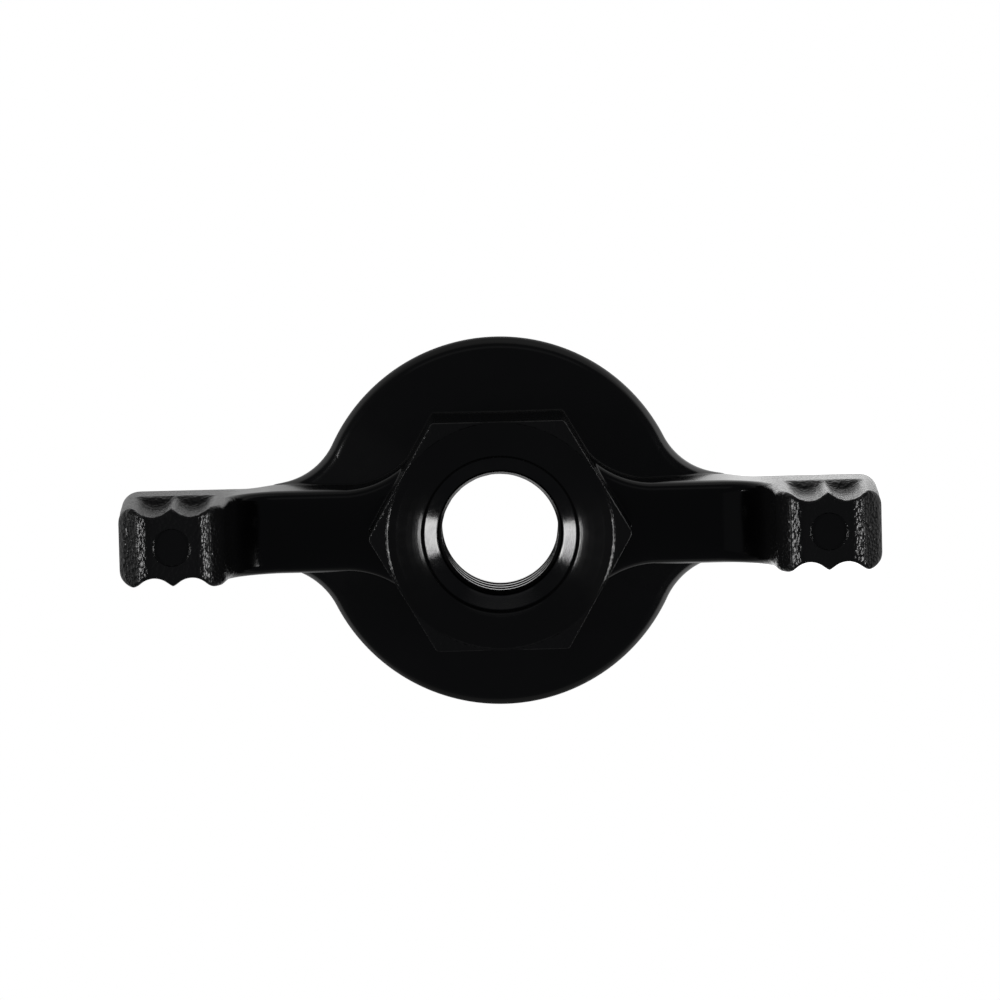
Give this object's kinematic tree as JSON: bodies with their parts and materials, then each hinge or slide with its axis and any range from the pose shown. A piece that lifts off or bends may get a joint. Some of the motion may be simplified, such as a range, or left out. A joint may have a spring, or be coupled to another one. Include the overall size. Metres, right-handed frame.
{
  "type": "wing nut",
  "caption": "Plastic wing nut with washer flange, hexagonal boss, fluted finger grips and a moulded-in metal bush with an M8 thread.",
  "frame": {"origin": "on the thread axis, in the plane of the bearing face under the flange", "axes": "+Z along the thread away from the bearing face, towards the hexagon and the finger grips; +X along the wings"},
  "size_m": [0.0434, 0.0212, 0.0123],
  "materials": {
    "body_plastic": "black glass-filled nylon, smooth satin webs and flange, grained finger grips",
    "bush_metal": "turned steel, blackened"
  },
  "bodies": {
    "root": {"wing_body": "body_plastic", "threaded_bush": "bush_metal"}
  },
  "joints": []
}
